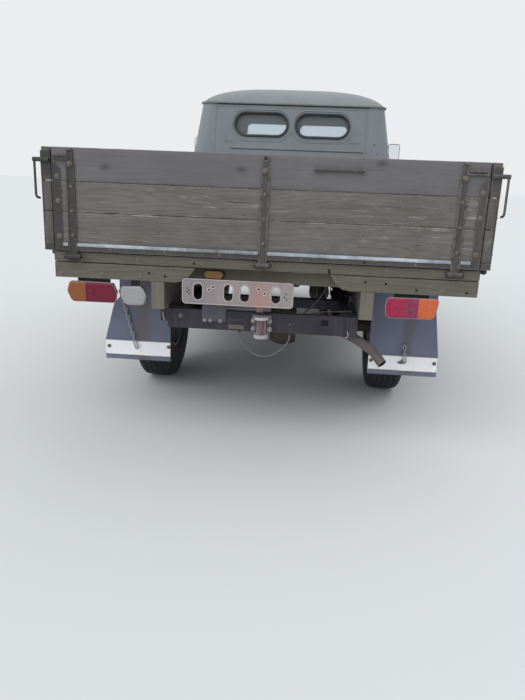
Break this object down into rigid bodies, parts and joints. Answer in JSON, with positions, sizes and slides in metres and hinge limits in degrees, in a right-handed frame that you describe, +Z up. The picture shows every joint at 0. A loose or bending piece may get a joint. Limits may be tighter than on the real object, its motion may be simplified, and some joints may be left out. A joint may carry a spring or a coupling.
{
  "type": "light military cargo truck",
  "caption": "Forward-control light cargo truck with a rounded cab, wooden drop-side bed, folding tailgate, opening doors, steered front wheels and rolling wheels.",
  "frame": {"origin": "on the ground under the middle of the truck's overall box", "axes": "+Y forward along the truck, +X to its right, +Z up"},
  "size_m": [2.17, 4.468, 2.0699],
  "materials": {
    "olive_steel": "matt green-grey paint, dusty and worn",
    "frame_paint": "dark brown-black paint, dusty",
    "cast_dark": "oily dark casting",
    "rusty_steel": "bare rusted steel",
    "bare_plate": "worn pinkish-grey metal",
    "spring_steel": "dull dark steel",
    "glass": "clear glass",
    "lamp_glass": "ribbed lamp glass",
    "lamp_lens": "ribbed red and amber lens",
    "wood": "worn olive paint on planks",
    "bed_wood": "bare worn planks",
    "strap_paint": "dark olive paint",
    "black_rubber": "weathered rubber sheet",
    "tyre": "dusty black rubber",
    "white_paint": "white paint, chipped",
    "cable": "grey weathered sheath",
    "black_plastic": "matt black",
    "seat_cover": "dark leathercloth",
    "chain_steel": "zinc-plated"
  },
  "bodies": {
    "root": {"frame": "frame_paint", "tow_hook": "rusty_steel", "leaf_springs": "spring_steel", "front_axle": "cast_dark", "rear_axle": "cast_dark", "shock_absorbers": "frame_paint", "engine_block": "cast_dark", "gearbox": "cast_dark", "propeller_shafts": "frame_paint", "fuel_tanks": "frame_paint", "exhaust": "rusty_steel", "cab_shell": "olive_steel", "cab_floor": "olive_steel", "cab_roof": "olive_steel", "wheel_arches": "olive_steel", "cab_glass": "glass", "grille": "olive_steel", "front_lamps": "lamp_glass", "front_bumper": "olive_steel", "seats": "seat_cover", "dashboard": "olive_steel", "steering_wheel": "black_plastic", "engine_cover": "olive_steel", "mirrors": "black_plastic", "bed_floor": "bed_wood", "bed_bearers": "wood", "bed_edge": "wood", "bed_hinges": "strap_paint", "headboard": "wood", "mudflaps": "black_rubber", "flap_strips": "white_paint", "flap_chains": "chain_steel", "plate_bracket": "bare_plate", "rear_lamps": "lamp_lens", "hanging_cable": "cable"},
    "wheel_front_left": {"tyre_front_left": "tyre", "rim_front_left": "olive_steel"},
    "wheel_rear_left": {"tyre_rear_left": "tyre", "rim_rear_left": "olive_steel"},
    "steering_left": {"knuckle_left": "cast_dark"},
    "cab_door_left": {"door_left": "olive_steel", "door_glass_left": "glass"},
    "drop_side_left": {"side_boards_left": "wood", "side_irons_left": "strap_paint"},
    "wheel_front_right": {"tyre_front_right": "tyre", "rim_front_right": "olive_steel"},
    "wheel_rear_right": {"tyre_rear_right": "tyre", "rim_rear_right": "olive_steel"},
    "steering_right": {"knuckle_right": "cast_dark"},
    "cab_door_right": {"door_right": "olive_steel", "door_glass_right": "glass"},
    "drop_side_right": {"side_boards_right": "wood", "side_irons_right": "strap_paint"},
    "tailgate": {"tailgate_boards": "wood", "tailgate_irons": "strap_paint"},
    "track_rod": {"tie_rod": "frame_paint"}
  },
  "joints": [
    {"name": "steer_left", "type": "hinge", "parent": "root", "child": "steering_left", "pos_m": [-0.585, 1.19, 0.396], "axis": [0, 0, 1], "range_deg": [-27, 27]},
    {"name": "spin_front_left", "type": "hinge", "parent": "steering_left", "child": "wheel_front_left", "pos_m": [-0.721, 1.19, 0.396], "axis": [1, 0, 0], "continuous": true},
    {"name": "spin_rear_left", "type": "hinge", "parent": "root", "child": "wheel_rear_left", "pos_m": [-0.721, -1.11, 0.396], "axis": [1, 0, 0], "continuous": true},
    {"name": "door_left_swing", "type": "hinge", "parent": "root", "child": "cab_door_left", "pos_m": [-0.94, 1.8045, 0.88], "axis": [-0.1123, 0, -0.9937], "range_deg": [0, 70]},
    {"name": "drop_side_left_fold", "type": "hinge", "parent": "root", "child": "drop_side_left", "pos_m": [-1.048, -0.9, 0.905], "axis": [0, -1, 0], "range_deg": [0, 170]},
    {"name": "steer_right", "type": "hinge", "parent": "root", "child": "steering_right", "pos_m": [0.585, 1.19, 0.396], "axis": [0, 0, 1], "range_deg": [-27, 27]},
    {"name": "spin_front_right", "type": "hinge", "parent": "steering_right", "child": "wheel_front_right", "pos_m": [0.721, 1.19, 0.396], "axis": [1, 0, 0], "continuous": true},
    {"name": "spin_rear_right", "type": "hinge", "parent": "root", "child": "wheel_rear_right", "pos_m": [0.721, -1.11, 0.396], "axis": [1, 0, 0], "continuous": true},
    {"name": "door_right_swing", "type": "hinge", "parent": "root", "child": "cab_door_right", "pos_m": [0.94, 1.8045, 0.88], "axis": [-0.1123, 0, 0.9937], "range_deg": [0, 70]},
    {"name": "drop_side_right_fold", "type": "hinge", "parent": "root", "child": "drop_side_right", "pos_m": [1.048, -0.9, 0.905], "axis": [0, 1, 0], "range_deg": [0, 170]},
    {"name": "tailgate_fold", "type": "hinge", "parent": "root", "child": "tailgate", "pos_m": [0, -2.222, 0.905], "axis": [1, 0, 0], "range_deg": [0, 170]},
    {"name": "track_rod_swing", "type": "hinge", "parent": "steering_left", "child": "track_rod", "pos_m": [-0.585, 1.4, 0.352], "axis": [0, 0, 1], "range_deg": [-27, 27]}
  ],
  "couplings": [
    {"joint": "steer_right", "follows": "steer_left", "ratio": 1},
    {"joint": "track_rod_swing", "follows": "steer_left", "ratio": -1}
  ]
}
